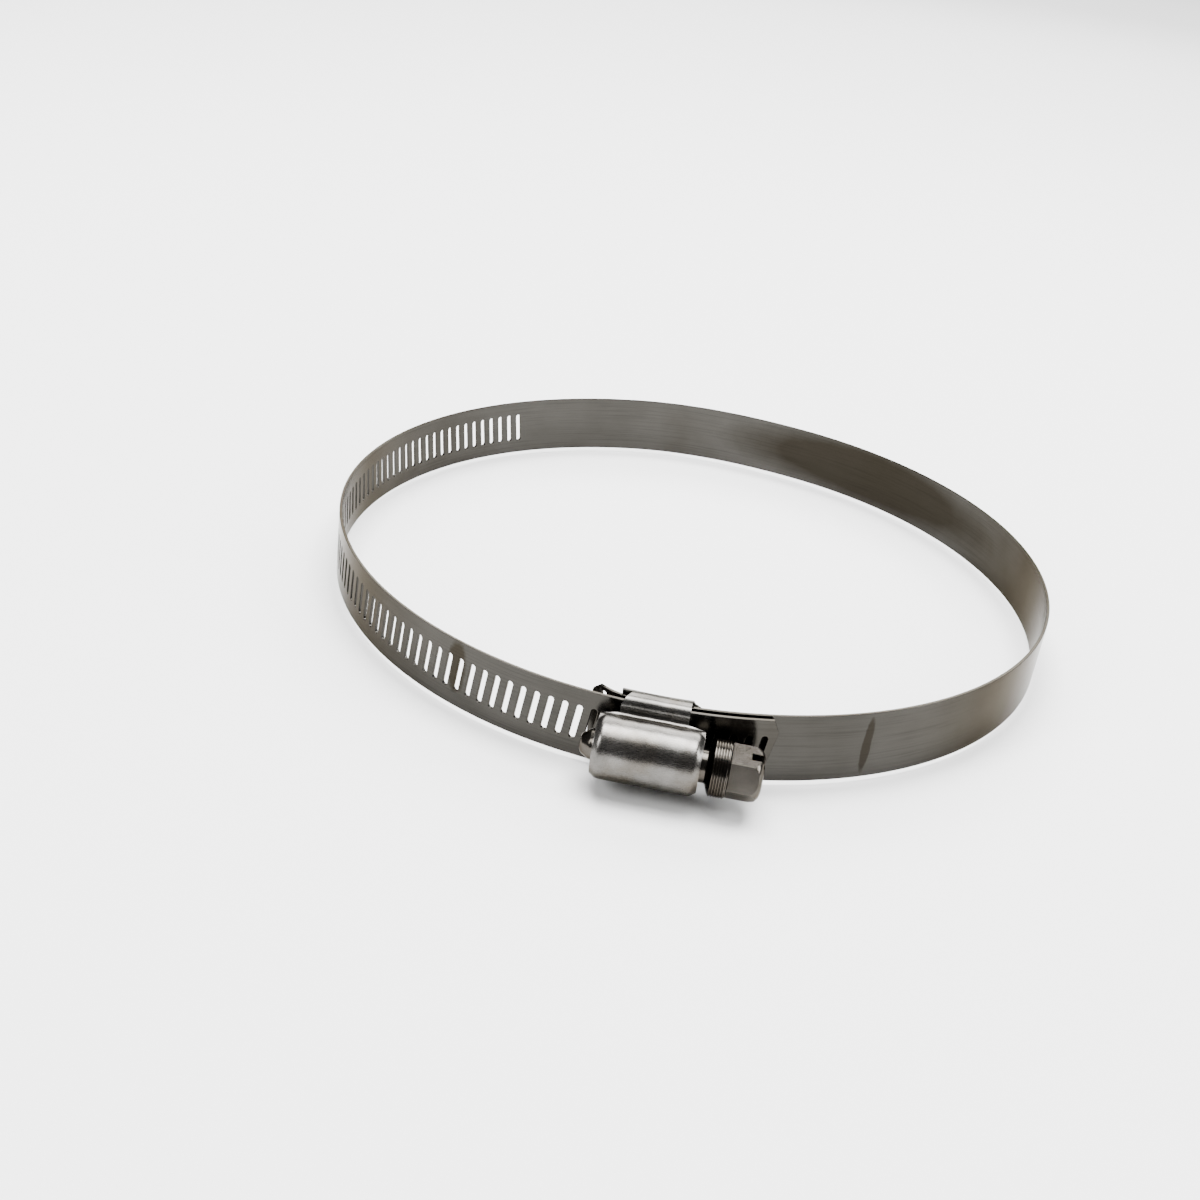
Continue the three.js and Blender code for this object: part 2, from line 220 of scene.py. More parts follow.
def edge_faces(normals, widths, start, base, sheet, place):
    """The rounded edge round one loop: its faces and the normals of their corners."""
    count = len(widths)
    drop = [max(widths[i - 1], widths[i]) for i in range(count)]
    round_normals = []
    for i in range(count):
        between = normals[i - 1] + normals[i]
        between /= np.linalg.norm(between)
        is_round = normals[i - 1] @ normals[i] > ROUND_CORNER
        round_normals.append(between if is_round else None)
    faces, kinds = [], []
    for i in range(count):
        j = (i + 1) % count
        na = normals[i] if round_normals[i] is None else round_normals[i]
        nb = normals[i] if round_normals[j] is None else round_normals[j]
        if widths[i] == 0:
            na = nb = normals[i]
        wall_a, wall_b = (na[0], na[1], 0), (nb[0], nb[1], 0)
        top_i, top_j = place[start + i], place[start + j]
        low_i, low_j = base + i, base + j
        under_i, under_j = base + count + i, base + count + j
        if widths[i] > 0:
            faces.append([top_j, top_i, low_i, low_j])
            kinds.append([(0, 0, 1), (0, 0, 1), wall_a, wall_b])
            faces.append([top_i + sheet, top_j + sheet, under_j, under_i])
            kinds.append([(0, 0, -1), (0, 0, -1), wall_b, wall_a])
            faces.append([low_j, low_i, under_i, under_j])
            kinds.append([wall_b, wall_a, wall_a, wall_b])
        else:
            ring = [top_j, top_i]
            ring += [low_i, under_i] if drop[i] > 0 else []
            ring += [top_i + sheet, top_j + sheet]
            ring += [under_j, low_j] if drop[j] > 0 else []
            faces.append(ring)
            kinds.append([wall_a] * len(ring))
    return faces, kinds, drop


def plate(name, radius_at, outline, joins, holes, seeds, material):
    """A curved plate. The outline, counter-clockwise, and the holes, clockwise, are loops of
    (angle-mm, up). joins marks the outline's edges that meet the next plate."""
    loops = [np.array(outline, float)] + [np.array(h, float) for h in holes]
    widths = [[0.0 if j else EDGE_BEVEL for j in joins]] + [[EDGE_BEVEL] * len(h) for h in holes]
    normals, inner = zip(*[loop_offsets(loop, width) for loop, width in zip(loops, widths)])
    starts = np.cumsum([0] + [len(loop) for loop in inner])
    coords, triangles, place = flat_mesh(inner, starts, seeds)
    half = BAND_THICKNESS / 2
    sheet = len(coords)
    points_s = list(coords[:, 0]) * 2
    points_u = list(coords[:, 1]) * 2
    points_d = [half] * sheet + [-half] * sheet
    faces, kinds = [], []
    for triangle in triangles:
        faces += [triangle, [i + sheet for i in triangle[::-1]]]
        kinds += [[(0, 0, 1)] * 3, [(0, 0, -1)] * 3]
    for loop, normal, width, start in zip(loops, normals, widths, starts):
        base = len(points_s)
        more_faces, more_kinds, drop = edge_faces(normal, width, start, base, sheet, place)
        faces += more_faces
        kinds += more_kinds
        for side in (1, -1):
            points_s += [p[0] for p in loop]
            points_u += [p[1] for p in loop]
            points_d += [side * (half - d) for d in drop]
    angle = np.array(points_s) / RADIAN_MM
    up = np.array(points_u)
    points, along, outward = on_loop(radius_at, angle, up, np.array(points_d))
    loop_normals = []
    for face, kind in zip(faces, kinds):
        for v, n in zip(face, kind):
            level = along[v] * n[0] + outward[v] * n[2]
            loop_normals.append((level[0], level[1], n[1]))
    used = sorted({v for face in faces for v in face})
    renumber = {old: new for new, old in enumerate(used)}
    faces = [[renumber[v] for v in face] for face in faces]
    uv = np.stack([np.array(points_s)[used], up[used]], -1) * MM * UV_PER_METRE
    obj = mesh_object(name, points[used], faces, loop_normals, uv, material)
    return obj


def inside(point, loop):
    """Whether a point lies within a loop of (x, y)."""
    x, y = point
    a, b = loop, np.roll(loop, -1, 0)
    crosses = (a[:, 1] > y) != (b[:, 1] > y)
    at = a[:, 0] + (y - a[:, 1]) / np.where(crosses, b[:, 1] - a[:, 1], 1) * (b[:, 0] - a[:, 0])
    return bool(np.sum(crosses & (x < at)) % 2)


ARC_STEPS = 8
SIDE_STEPS = 5


def slot_loop(middle):
    """A slot's round-ended outline, clockwise."""
    points = []
    half = SLOT_WIDTH / 2
    end = SLOT_LENGTH / 2 - half
    for side in (1, -1):
        for i in range(ARC_STEPS + 1):
            turn = math.pi * i / ARC_STEPS + (0 if side > 0 else math.pi)
            points.append((half * math.cos(turn), half * math.sin(turn) + side * end))
        for k in range(1, SIDE_STEPS):
            points.append((-side * half, side * end * (1 - 2 * k / SIDE_STEPS)))
    c, s = math.cos(SLOT_LEAN), math.sin(SLOT_LEAN)
    return [(middle + x * c + y * s, y * c - x * s) for x, y in points][::-1]


HALF_WIDTH = BAND_WIDTH / 2
slotted_from = hinges[plain_count] * RADIAN_MM
all_slots = [
    slotted_from + (k + 0.5) * SLOT_PITCH
    for k in range(BLANK_SLOTS, slots_per_section * slotted_count + TAIL_SLOTS)
]


def steps_between(a, b, size):
    count = max(1, round((b - a) / size))
    return [a + (b - a) * i / count for i in range(count + 1)]


def widened(hole):
    """A hole's outline moved away from its middle."""
    middle = np.mean(hole, 0)
    away = np.array(hole) - middle
    return middle + away * (1 + HOLE_CLEAR / np.linalg.norm(away, axis=1, keepdims=True))


def strip_piece(name, a, b, material, tip=None, tab=None, radius_at=loop_radius, holes=()):
    """A stretch of band from a to b (angle-mm). tip or tab is an outline that ends it."""
    edge = steps_between(a, b, EDGE_STEP)
    if tip is not None:
        end = [(b + x, y) for x, y in tip]
        low = [(x, -HALF_WIDTH) for x in steps_between(a, end[-1][0], EDGE_STEP)][:-1]
        high = [(x, HALF_WIDTH) for x in steps_between(a, end[0][0], EDGE_STEP)][:-1]
        outline = low + end[::-1] + high[::-1]
        joined = [len(outline) - 1]
    elif tab is not None:
        end = [(a - x, y) for x, y in tab]
        low = [(x, -HALF_WIDTH) for x in steps_between(end[-1][0], b, EDGE_STEP)][1:]
        high = [(x, HALF_WIDTH) for x in steps_between(end[0][0], b, EDGE_STEP)][1:]
        outline = low + high[::-1] + end
        joined = [len(low) - 1]
    else:
        low = [(x, -HALF_WIDTH) for x in edge]
        outline = low + [(x, HALF_WIDTH) for x in edge[::-1]]
        joined = [len(low) - 1, len(outline) - 1]
    joins = [i in joined for i in range(len(outline))]
    slots = [slot_loop(m) for m in all_slots if a < m < b] if radius_at is loop_radius else []
    holes = [list(h) for h in holes] + slots
    ring = np.array(outline)
    kept_clear = [widened(h) for h in holes]
    seeds = []
    for x in edge[1:-1]:
        for y in SEED_ROWS:
            off_edge = min(abs(ring[:, 0] - x) + abs(ring[:, 1] - y)) > SEED_CLEAR
            if inside((x, y), ring) and off_edge and not any(inside((x, y), h) for h in kept_clear):
                seeds.append((x, y))
    return plate(name, radius_at, outline, joins, holes, seeds, material)


def at(angle_mm):
    """The middle of the strip at a place along it."""
    angle = np.array([angle_mm / RADIAN_MM])
    points, _, _ = on_loop(loop_radius, angle, np.zeros(1), np.zeros(1))
    return tuple(points[0])


TAB_OUTLINE = [
    (-1.4, HALF_WIDTH), (-0.3, 5.3), (0, 4.7), (0, 0), (0, -4.7), (-0.3, -5.3),
    (-1.4, -HALF_WIDTH),
]
TAB_HOLE_AT = -8.9 / LOOP_RADIUS * RADIAN_MM
TAB_HOLE_UP = 5.1
TAB_HOLE_RADIUS = 0.5
TIP_OUTLINE = [
    (-1.15, HALF_WIDTH), (-0.16, 4.35), (0, 3.9), (-0.13, 3.4), (-1.0, -0.85),
    (-1.72, -4.2), (-2.0, -4.9), (-3.1, -HALF_WIDTH),
]


def build_band(material):
    hinge_mm = [h * RADIAN_MM for h in hinges]
    cuts = [(a + b) / 2 for a, b in zip(hinge_mm, hinge_mm[1:])] + [hinge_mm[-1] + 3 * SLOT_PITCH]
    first_cut = hinge_mm[0] - BEND_REACH
    tab_hole = [
        (TAB_HOLE_AT + TAB_HOLE_RADIUS * math.cos(t), TAB_HOLE_UP - TAB_HOLE_RADIUS * math.sin(t))
        for t in np.linspace(0, 2 * math.pi, 24, endpoint=False)
    ]
    fixed = strip_piece(
        "band_tab", -TAB_END / LOOP_RADIUS * RADIAN_MM, first_cut, material,
        tab=TAB_OUTLINE, radius_at=fixed_radius, holes=[tab_hole],
    )
    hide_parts("band_fixed_end")
    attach(fixed, "mount")
    names = [f"plain_{i + 1:02d}" for i in range(plain_count)]
    names += [f"slotted_{i + 1:02d}" for i in range(slotted_count)] + ["tail"]
    before = first_cut
    for i, name in enumerate(names):
        piece = strip_piece(f"strip_{i + 1:02d}", before, cuts[i], material)
        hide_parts(f"band_{name}")
        bend_from, bend_to = at(hinge_mm[i] - BEND_REACH), at(hinge_mm[i] + BEND_REACH)
        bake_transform(piece)
        before = cuts[i]
    end = strip_piece("strip_tail_tip", before, TAIL_END * RADIAN_MM, material, tip=TIP_OUTLINE)
    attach(end, "tail")


# ---- sheet pieces: a middle surface given its thickness ----
def turn_arc(centre, radius, start, stop, count):
    turns = np.radians(np.linspace(start, stop, count + 1))
    return [(centre[0] + radius * math.cos(t), centre[1] + radius * math.sin(t)) for t in turns]


def even_line(points, spacing):
    """The line resampled at even spacing."""
    points = np.array(points)
    length = np.concatenate([[0], np.cumsum(np.hypot(*np.diff(points, axis=0).T))])
    wanted = np.linspace(0, length[-1], max(2, round(length[-1] / spacing) + 1))
    return np.stack([np.interp(wanted, length, points[:, k]) for k in (0, 1)], -1), wanted


def sheet_piece(name, rows, thickness, bevel, material):
    """rows is a grid (profile, along) of points in mm; it is given thickness and rounded edges."""
    count, wide = rows.shape[:2]
    faces = []
    for j in range(count - 1):
        for i in range(wide - 1):
            k = j * wide + i
            faces.append((k, k + 1, k + wide + 1, k + wide))
    obj = mesh_object(name, rows.reshape(-1, 3) * MM, faces, material=material)
    solid = obj.modifiers.new("thickness", "SOLIDIFY")
    solid.thickness = thickness * MM
    solid.offset = 0
    solid.use_even_offset = True
    edge = obj.modifiers.new("edge", "BEVEL")
    edge.width = bevel * MM
    edge.segments = 3
    edge.limit_method = "ANGLE"
    edge.angle_limit = math.radians(50)
    edge.use_clamp_overlap = True
    bake_modifiers(obj)
    obj.data.polygons.foreach_set("use_smooth", [True] * len(obj.data.polygons))
    obj.data.materials.clear()
    obj.data.materials.append(material)
    return obj


def smooth(x, a, b):
    t = np.clip((x - a) / (b - a), 0, 1)
    return t * t * (3 - 2 * t)


BARREL_HALF = 8.5
LIP_HALF = 5.6
LIP_RADIUS = 1.2
LIP_Z = 7.03
LIP_REAR = 70.2
LIP_DROOP = 0.12
LIP_CUT_BACK = 1.4  # the lips' left ends lean back, the upper one more than the lower
LOWER_CUT_BACK = 0.3
VALLEY_RADIUS = 1.1
VALLEY_TURN = 115.0
END_CURL = 0.7
SHEET_STEP = 0.28


def build_housing(material):
    turn = math.radians(VALLEY_TURN)
    reach_out = BARREL_RADIUS + VALLEY_RADIUS
    valley = (SCREW_AT + reach_out * math.cos(turn), reach_out * math.sin(turn))
    shoulder = valley[0] - VALLEY_RADIUS
    upper = turn_arc((SCREW_AT, 0), BARREL_RADIUS, 0, VALLEY_TURN, 30)
    upper += turn_arc(valley, VALLEY_RADIUS, VALLEY_TURN + 180, 180, 12)[1:]
    upper += turn_arc((shoulder - LIP_RADIUS, LIP_Z - LIP_RADIUS), LIP_RADIUS, 0, 90, 14)
    upper += [(LIP_REAR + 0.5, LIP_Z), (LIP_REAR, LIP_Z - LIP_DROOP)]
    line, along = even_line(upper, SHEET_STEP)
    barrel_end = BARREL_RADIUS * turn
    whole = np.concatenate([(line * (1, -1))[::-1][:-1], line])
    place = np.concatenate([-along[::-1][:-1], along])
    away = abs(place)
    narrow = smooth(away, barrel_end + 0.1, barrel_end + 1.5)
    right = BARREL_HALF + (LIP_HALF - BARREL_HALF) * narrow
    left = right.copy()
    pinch = smooth(away, barrel_end - 1.6, barrel_end - 0.2)
    back = smooth(away, barrel_end + 2.4, along[-1])
    left -= np.where(place > 0, LIP_CUT_BACK * back, LOWER_CUT_BACK * back)
    step = np.vstack([whole[1:], whole[-1:]]) - np.vstack([whole[:1], whole[:-1]])
    step /= np.linalg.norm(step, axis=1, keepdims=True)
    square = np.stack([step[:, 1], -step[:, 0]], -1)
    share = np.sin(np.linspace(-math.pi / 2, math.pi / 2, 49))
    rows = np.zeros((len(whole), len(share), 3))
    for j, (u, v) in enumerate(whole):
        half = np.where(share < 0, left[j], right[j])
        x = share * half
        curl = smooth(abs(x), half - 1.2, half + 0.2) * END_CURL * (1 - pinch[j])
        dent = 0.022 * np.sin(0.8 * x + 0.9 * v) + 0.012 * np.sin(1.9 * x - 1.7 * u + 1.0)
        curl = curl + dent * (1 - abs(share) ** 4)
        rows[j, :, 0] = x + CENTRE[0]
        rows[j, :, 1] = -(u - square[j, 0] * curl) + CENTRE[1]
        rows[j, :, 2] = v - square[j, 1] * curl + CENTRE[2]
    housing = sheet_piece("housing_shell", rows, SHEET, 0.2, material)
    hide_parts("housing")
    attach(housing, "mount")


SADDLE_RADIUS = 69.4
SADDLE_REACH = 5.9  # either side of the housing's middle; the cup's web reaches further
SADDLE_WEB = 1.3
SADDLE_SHEET = 0.5


def build_saddle(material):
    upper = [(SADDLE_RADIUS, 0.0), (SADDLE_RADIUS, 6.5)]
    upper += turn_arc((69.7, 6.55), 0.3, 180, 90, 6) + [(69.9, 6.85)]
    line, _ = even_line(upper, 0.3)
    whole = np.concatenate([(line * (1, -1))[::-1][:-1], line])
    share = np.linspace(0, 1, 25)
    rows = np.zeros((len(whole), len(share), 3))
    for j, (u, v) in enumerate(whole):
        end = SADDLE_REACH + SADDLE_WEB * (1 - smooth(abs(v), 5.8, 6.6))
        arc = (-SADDLE_REACH + (end + SADDLE_REACH) * share) / SADDLE_RADIUS
        rows[j, :, 0] = u * np.sin(arc) + CENTRE[0]
        rows[j, :, 1] = -u * np.cos(arc) + CENTRE[1]
        rows[j, :, 2] = v + CENTRE[2]
    saddle = sheet_piece("saddle_cup", rows, SADDLE_SHEET, 0.12, material)
    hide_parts("saddle")
    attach(saddle, "mount")


# ---- the screw, along +X ----
def around(radius_at, stations, count):
    """A closed shape round the X axis, its radius at each station a function of the turn."""
    turns = np.linspace(0, 2 * math.pi, count, endpoint=False)
    points, faces = [], []
    for x in stations:
        for t in turns:
            r = radius_at(x, t)
            points.append((x, r * math.cos(t), r * math.sin(t)))
    for j in range(len(stations) - 1):
        for i in range(count):
            a, b = j * count + i, j * count + (i + 1) % count
            faces.append((a, a + count, b + count, b))
    faces.append(tuple(range(count)))
    faces.append(tuple((len(stations) - 1) * count + i for i in reversed(range(count))))
    return np.array(points), faces


def screw_points(points):
    """Points round the screw's middle, in mm, as points in the frame, in metres."""
    return (points + (CENTRE[0], CENTRE[1] - SCREW_AT, CENTRE[2])) * MM


def sharp_by_angle(obj, degrees):
    mesh = obj.data
    shape = bmesh.new()
    shape.from_mesh(mesh)
    for edge in shape.edges:
        if len(edge.link_faces) == 2 and edge.calc_face_angle(0) > math.radians(degrees):
            edge.smooth = False
    shape.to_mesh(mesh)
    shape.free()


def lathe(name, profile, material, count=96):
    radii = dict(profile)
    points, faces = around(lambda x, turn: radii[x], [x for x, _ in profile], count)
    obj = mesh_object(name, screw_points(points), faces, material=material)
    sharp_by_angle(obj, 32)
    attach(obj, "screw")
    return obj


def thread_radius(x, turn):
    phase = x / SLOT_PITCH - turn / (2 * math.pi)
    place = abs(phase - round(phase)) * 2
    flank = 1 - smooth(place, 0.28, 0.72)
    fade = smooth(x, -7.9, -6.3) * (1 - smooth(x, 6.3, 7.9))
    return ROOT_RADIUS + (THREAD_RADIUS - ROOT_RADIUS) * flank * fade


DOME = [(HEAD_END - 1.7, 4.66), (HEAD_END - 0.75, 4.2), (HEAD_END - 0.25, 3.6), (HEAD_END, 2.9)]


def dome_height(r):
    """Where along the screw the head's domed end lies at a radius."""
    xs, rs = zip(*DOME)
    if r <= rs[-1]:
        return HEAD_END
    return float(np.interp(r, rs[::-1], xs[::-1]))


THREAD_HALF = 7.95
POINT = [
    (-10.9, 1.15), (-10.86, 1.3), (-10.75, 1.45), (-10.5, 1.75), (-9.35, 2.46),
    (-9.2, 2.52), (-8.6, 2.6), (-8.35, 2.75), (-7.0, 2.9),
]
NECK = [(7.0, 2.85), (9.5, 2.8), (9.75, 2.95), (9.95, 3.7), (10.2, 4.2), (10.4, 4.5)]
RIDGES = 6
FIRST_RIDGE = 10.45
RIDGE_PITCH = 0.43
RIDGE = [
    (0.04, 4.62), (0.1, COLLAR_RADIUS), (0.24, COLLAR_RADIUS), (0.3, 4.64), (0.36, 4.54),
    (0.4, 4.54),
]
COLLAR_END = [(13.1, 4.5), (13.25, 4.2), (13.35, 3.6), (13.4, 3.0)]


def build_screw(material):
    stations = np.linspace(-THREAD_HALF, THREAD_HALF, 160)
    points, faces = around(thread_radius, stations, 64)
    worm = mesh_object("screw_thread", screw_points(points), faces, material=material)
    sharp_by_angle(worm, 50)
    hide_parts("screw")
    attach(worm, "screw")
    lathe("screw_point", POINT, material)
    ridges = [
        (FIRST_RIDGE + RIDGE_PITCH * k + x, r) for k in range(RIDGES) for x, r in RIDGE
    ]
    lathe("screw_collar", NECK + ridges + COLLAR_END, material, 128)
    build_head(material)


HEAD_START = 13.2
HEAD_STATIONS = (0.0, 0.02, 0.3, 0.6, 0.9, 1.0)  # shares of the way from its start to the dome
HEAD_START_SCALE = 0.985
DOME_RINGS = (0.97, 0.93, 0.88, 0.82, 0.75, 0.68, 0.62, 0.5, 0.3, 0.1)
POINTS_PER_FLAT = 13


def hexagon():
    """The head's six-sided outline across its flats."""
    corner = HEX_FLATS / 2 / math.cos(math.pi / 6)
    turns = [math.radians(60) * k + HEX_TURN for k in range(7)]
    corners = [np.array([math.sin(t), math.cos(t)]) * corner for t in turns]
    ring = []
    for a, b in zip(corners, corners[1:]):
        ring += [a + (b - a) * k / POINTS_PER_FLAT for k in range(POINTS_PER_FLAT)]
    return np.array(ring)


def slot_cutter():
    """The block that cuts the screwdriver slot."""
    block = bmesh.new()
    bmesh.ops.create_cube(block, size=1.0)
    middle = screw_points(np.array([[HEAD_END - HEAD_SLOT_DEPTH + 2, 0, 0]]))[0]
    block.transform(
        Matrix.Translation(middle)
        @ Matrix.Rotation(HEX_TURN - math.pi / 6, 4, "X")
        @ Matrix.Diagonal((4 * MM, HEAD_SLOT * MM, 14 * MM, 1))
    )
    mesh = bpy.data.meshes.new("slot_cutter")
    block.to_mesh(mesh)
    block.free()
    cutter = bpy.data.objects.new("slot_cutter", mesh)
    bpy.context.scene.collection.objects.link(cutter)
    return cutter


def build_head(material):
    outline = hexagon()
    count = len(outline)
    points, faces = [], []
    for share in HEAD_STATIONS:
        scale = HEAD_START_SCALE if share == 0 else 1.0
        for w in outline:
            top = dome_height(np.hypot(*w))
            x = HEAD_START + (top - HEAD_START) * share
            points.append((x, w[0] * scale, w[1] * scale))
    for shrink in DOME_RINGS:
        for w in outline * shrink:
            points.append((dome_height(np.hypot(*w)), w[0], w[1]))
    layers = len(points) // count
    for j in range(layers - 1):
        for i in range(count):
            a, b = j * count + i, j * count + (i + 1) % count
            faces.append((a, b, b + count, a + count))
    faces.append(tuple(reversed(range(count))))
    faces.append(tuple((layers - 1) * count + i for i in range(count)))
    flipped = screw_points(np.array(points) * (1, -1, 1))
    obj = mesh_object("screw_head", flipped, faces, material=material)
    shape = bmesh.new()
    shape.from_mesh(obj.data)
    bmesh.ops.recalc_face_normals(shape, faces=shape.faces)
    shape.to_mesh(obj.data)
    shape.free()
    cutter = slot_cutter()
    slot = obj.modifiers.new("slot", "BOOLEAN")
    slot.operation = "DIFFERENCE"
    slot.solver = "EXACT"
    slot.object = cutter
    bake_modifiers(obj)
    bpy.data.objects.remove(cutter)
    obj.data.materials.clear()
    obj.data.materials.append(material)
    sharp_by_angle(obj, 20)
    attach(obj, "screw")


# ---- finishes ----
# a colour mix node keeps its colours in these sockets
COLOR_A = 6
COLOR_B = 7
COLOR_OUT = 2


def node(tree, kind, **inputs):
    made = tree.nodes.new(kind)
    for key, value in inputs.items():
        made.inputs[key.replace("_", " ")].default_value = value
    return made


def ramp(tree, source, stops):
    made = tree.nodes.new("ShaderNodeValToRGB")
    tree.links.new(source, made.inputs["Fac"])
    first, last = made.color_ramp.elements
    first.position, first.color = stops[0][0], (*stops[0][1], 1)
    last.position, last.color = stops[-1][0], (*stops[-1][1], 1)
    for place, color in stops[1:-1]:
        made.color_ramp.elements.new(place).color = (*color, 1)
    return made.outputs["Color"]


def grey(value):
    return (value, value, value)


def color_mix(tree, first, second, kind="MIX"):
    """A mix node over a colour socket and a second one, which is a socket or a fixed tint."""
    mix = tree.nodes.new("ShaderNodeMix")
    mix.data_type = "RGBA"
    mix.blend_type = kind
    tree.links.new(first, mix.inputs[COLOR_A])
    if isinstance(second, tuple):
        mix.inputs[COLOR_B].default_value = (*second, 1)
    else:
        tree.links.new(second, mix.inputs[COLOR_B])
    return mix


def blended(tree, share, first, second):
    mix = color_mix(tree, first, second)
    tree.links.new(share, mix.inputs["Factor"])
    return mix.outputs[COLOR_OUT]


def mapped(tree, coordinate, scale):
    place = tree.nodes.new("ShaderNodeTexCoord")
    mapping = tree.nodes.new("ShaderNodeMapping")
    mapping.inputs["Scale"].default_value = scale
    tree.links.new(place.outputs[coordinate], mapping.inputs["Vector"])
    return mapping.outputs["Vector"]


def noise(tree, vector, scale, detail=3.0, rough=0.55):
    made = node(tree, "ShaderNodeTexNoise", Scale=scale, Detail=detail, Roughness=rough)
    tree.links.new(vector, made.inputs["Vector"])
    return made.outputs["Fac"]


MARK_STRENGTH = 0.85
MARK_SOLID = 0.55  # how far out a mark keeps its strength, and where it ends
MARK_END = 0.98


def wear_and_reflection_mark(tree, color, along, up, half_length, half_height, tint, ragged):
    """A ragged mark on the band, centred on a place along and up the strip, in mm: used for rubbed
    marks and for one painted dark reflection.
    """
    unit = UV_PER_METRE * MM
    place = mapped(tree, "UV", (1 / (half_length * unit), 1 / (half_height * unit), 1))
    warp = noise(tree, mapped(tree, "UV", (1.6, 1.6, 1.6)), 14.0, 4.0, 0.7)
    shifted = tree.nodes.new("ShaderNodeVectorMath")
    shifted.operation = "SUBTRACT"
    tree.links.new(place, shifted.inputs[0])
    shifted.inputs[1].default_value = (along / half_length, up / half_height, 0)
    length = tree.nodes.new("ShaderNodeVectorMath")
    length.operation = "LENGTH"
    tree.links.new(shifted.outputs[0], length.inputs[0])
    torn = tree.nodes.new("ShaderNodeMath")
    torn.operation = "MULTIPLY_ADD"
    tree.links.new(warp, torn.inputs[0])
    torn.inputs[1].default_value = ragged
    tree.links.new(length.outputs["Value"], torn.inputs[2])
    solid = MARK_SOLID + ragged / 2
    share = ramp(tree, torn.outputs[0], [(solid, grey(MARK_STRENGTH)), (MARK_END, grey(0.0))])
    return blended(tree, share, color, tint)


EDGE_TINT = (0.55, 0.53, 0.5, 1)


def steel(
    name, light, dark, stain, roughness, grain, coordinate, stretch, scale, marks=()
):
    """Worked stainless steel: a cloudy tone with brown stain, and drawn grain in its tone,
    roughness and relief."""
    material = bpy.data.materials.new(name)
    material.use_nodes = True
    tree = material.node_tree
    shader = tree.nodes["Principled BSDF"]
    shader.inputs["Metallic"].default_value = 1.0
    shader.inputs["Specular Tint"].default_value = EDGE_TINT
    plain = mapped(tree, coordinate, (scale, scale, scale))
    drawn = mapped(tree, coordinate, tuple(scale * k for k in stretch))
    cloud = noise(tree, plain, 1.1, 4.0)
    tone = ramp(tree, cloud, [(0.35, dark), (0.65, light)])
    patch = noise(tree, plain, 0.75, 5.0, 0.6)
    where = ramp(tree, patch, [(0.52, grey(0.0)), (0.74, grey(0.75))])
    stained = ramp(tree, cloud, [(0.3, stain), (0.7, tuple(0.8 * k for k in stain))])
    color = blended(tree, where, tone, stained)
    # the band's marks include one painted dark reflection, the first listed in band_steel
    for mark in marks:
        color = wear_and_reflection_mark(tree, color, *mark)
    lines = noise(tree, drawn, 26.0, 4.0, 0.7)
    streak = ramp(tree, lines, [(0.3, grey(0.72)), (0.5, grey(0.95)), (0.72, grey(1.0))])
    wear = color_mix(tree, color, streak, "MULTIPLY")
    wear.inputs["Factor"].default_value = 1.0
    tree.links.new(wear.outputs[COLOR_OUT], shader.inputs["Base Color"])
    low, high = roughness
    rough = ramp(tree, lines, [(0.25, grey(low)), (0.75, grey(high))])
    tree.links.new(rough, shader.inputs["Roughness"])
    speck = noise(tree, plain, 95.0, 2.0, 0.6)
    relief = node(tree, "ShaderNodeBump", Strength=grain[0], Distance=grain[1] * MM)
    tree.links.new(speck, relief.inputs["Height"])
    drawn_relief = node(tree, "ShaderNodeBump", Strength=grain[2], Distance=grain[1] * MM)
    tree.links.new(lines, drawn_relief.inputs["Height"])
    tree.links.new(relief.outputs["Normal"], drawn_relief.inputs["Normal"])
    tree.links.new(drawn_relief.outputs["Normal"], shader.inputs["Normal"])
    return material


band_steel = steel(
    "band_steel", (0.052, 0.0498, 0.0455), (0.032, 0.0302, 0.0265), (0.019, 0.0155, 0.010),
    (0.13, 0.24), (0.1, 0.012, 0.05), "UV", (0.12, 6.0, 1.0), 1.6,
    marks=[
        # along and up the strip, half length and half height in mm, tint, raggedness
        # painted reflection: this long dark brown patch on the inner back right of the loop stands
        # in for dark surroundings reflected in the band, not a rub or stain
        (185.0, 0.5, 46.0, 9.0, (0.012, 0.0098, 0.0062), 0.12),
        (37.5, 0.0, 1.5, 9.0, (0.017, 0.0145, 0.011), 0.6),
        (415.0, 1.5, 3.0, 7.5, (0.02, 0.017, 0.012), 0.5),
    ],
)
housing_steel = steel(
    "housing_steel", (0.16, 0.154, 0.145), (0.085, 0.0815, 0.075), (0.08, 0.065, 0.046),
    (0.2, 0.34), (0.45, 0.02, 0.04), "Object", (0.3, 5.0, 5.0), 120.0,
)
saddle_steel = steel(
    "saddle_steel", (0.095, 0.091, 0.084), (0.065, 0.062, 0.056), (0.05, 0.04, 0.027),
    (0.25, 0.4), (0.2, 0.03, 0.15), "Object", (0.3, 5.0, 5.0), 120.0,
)
screw_steel = steel(
    "screw_steel", (0.082, 0.075, 0.066), (0.045, 0.041, 0.035), (0.042, 0.031, 0.02),
    (0.12, 0.26), (0.15, 0.02, 0.2), "Object", (8.0, 0.6, 0.6), 120.0,
)

build_band(band_steel)
build_housing(housing_steel)
build_saddle(saddle_steel)
build_screw(screw_steel)

# ---- floor, light and camera ----
FLOOR_REACH = 8
FLOOR_COLOR = (0.86, 0.86, 0.86, 1)
WORLD_STRENGTH = 0.14

floor_mesh = bpy.data.meshes.new("floor")
corners = [(x * FLOOR_REACH, y * FLOOR_REACH, 0) for x, y in ((-1, -1), (1, -1), (1, 1), (-1, 1))]
floor_mesh.from_pydata(corners, [], [(0, 1, 2, 3)])
floor = bpy.data.objects.new("floor", floor_mesh)
bpy.context.scene.collection.objects.link(floor)
floor_paint = bpy.data.materials.new("floor_paint")
floor_paint.use_nodes = True
floor_shader = floor_paint.node_tree.nodes["Principled BSDF"]
floor_shader.inputs["Base Color"].default_value = FLOOR_COLOR
floor_shader.inputs["Roughness"].default_value = 0.9
floor_mesh.materials.append(floor_paint)

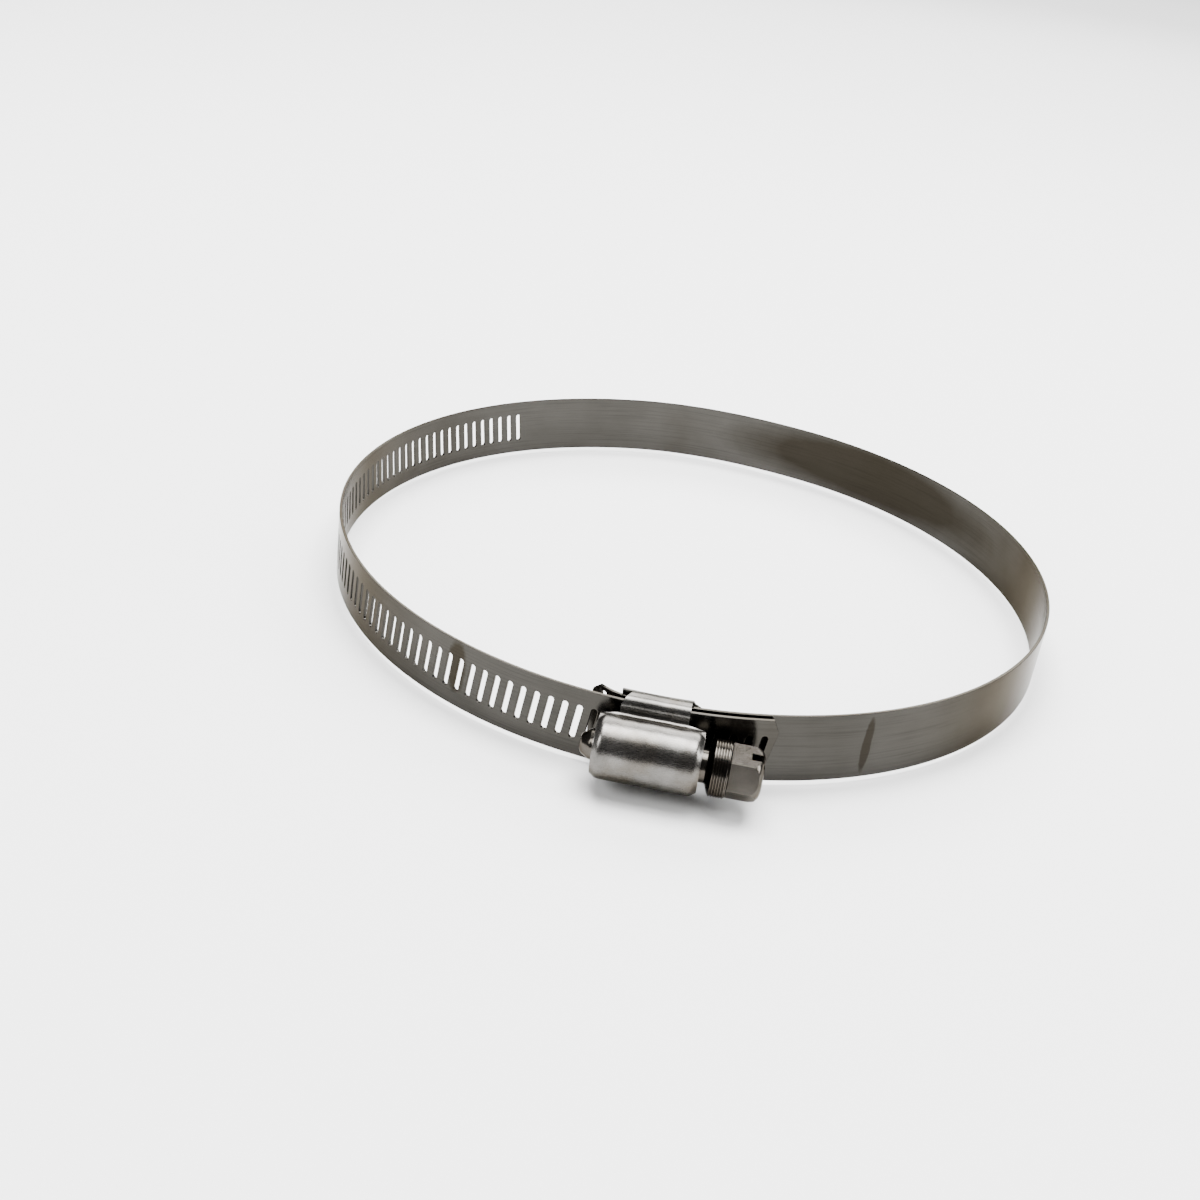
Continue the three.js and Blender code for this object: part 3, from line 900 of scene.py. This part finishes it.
world = bpy.data.worlds.new("studio")
bpy.context.scene.world = world
world.use_nodes = True
world.node_tree.nodes["Background"].inputs["Color"].default_value = (1, 1, 1, 1)
world.node_tree.nodes["Background"].inputs["Strength"].default_value = WORLD_STRENGTH


def softbox(name, place, target, size, power):
    light = bpy.data.lights.new(name, "AREA")
    light.shape = "RECTANGLE"
    light.size, light.size_y = size
    light.energy = power
    lamp = bpy.data.objects.new(name, light)
    bpy.context.scene.collection.objects.link(lamp)
    lamp.location = place
    lamp.rotation_euler = (Vector(target) - Vector(place)).to_track_quat("-Z", "Y").to_euler()


softbox("overhead", (0.0, 0.2, 1.2), (0, 0.1, 0), (1.1, 0.6), 54.0)
softbox("front_top", (0.0, -0.22, 1.2), (0, 0, 0), (1.0, 0.35), 13.0)
softbox("left_front", (-0.8, -0.6, 0.7), (0, -0.03, 0), (0.25, 0.6), 10.0)
softbox("right_side", (1.0, -0.1, 0.6), (0, 0, 0), (0.25, 0.6), 10.0)
softbox("back_glow", (0.1, 1.5, 0.85), (0, 0, 0), (1.4, 0.35), 16.0)
softbox("far_wash", (0.0, 2.4, 2.0), (0, 1.6, 0), (3.5, 1.4), 150.0)

CAMERA_TURN = math.radians(5.2)
CAMERA_PLACE = (-16.688, -273.108, 128.452)
SHIFT_RIGHT = -1.1
SHIFT_UP = 0.6
FOCAL_LENGTH = 44.03
SENSOR_WIDTH = 36

right = Vector((0.990096, 0.064881, 0.124503))
top = Vector((-0.140395, 0.457557, 0.878027))
behind = Vector((0.0, -0.886810, 0.462134))
stand = (Vector(CAMERA_PLACE) + SHIFT_RIGHT * right + SHIFT_UP * top) * MM
facing = Matrix((right, top, behind)).transposed().to_4x4()
lens = bpy.data.cameras.new("camera")
lens.lens = FOCAL_LENGTH
lens.sensor_width = SENSOR_WIDTH
camera = bpy.data.objects.new("camera", lens)
bpy.context.scene.collection.objects.link(camera)
turned = Matrix.Rotation(CAMERA_TURN, 4, "Z")
camera.matrix_world = (
    Matrix.Translation(Vector(CENTRE) * MM) @ turned @ Matrix.Translation(stand) @ facing
)
bpy.context.scene.camera = camera
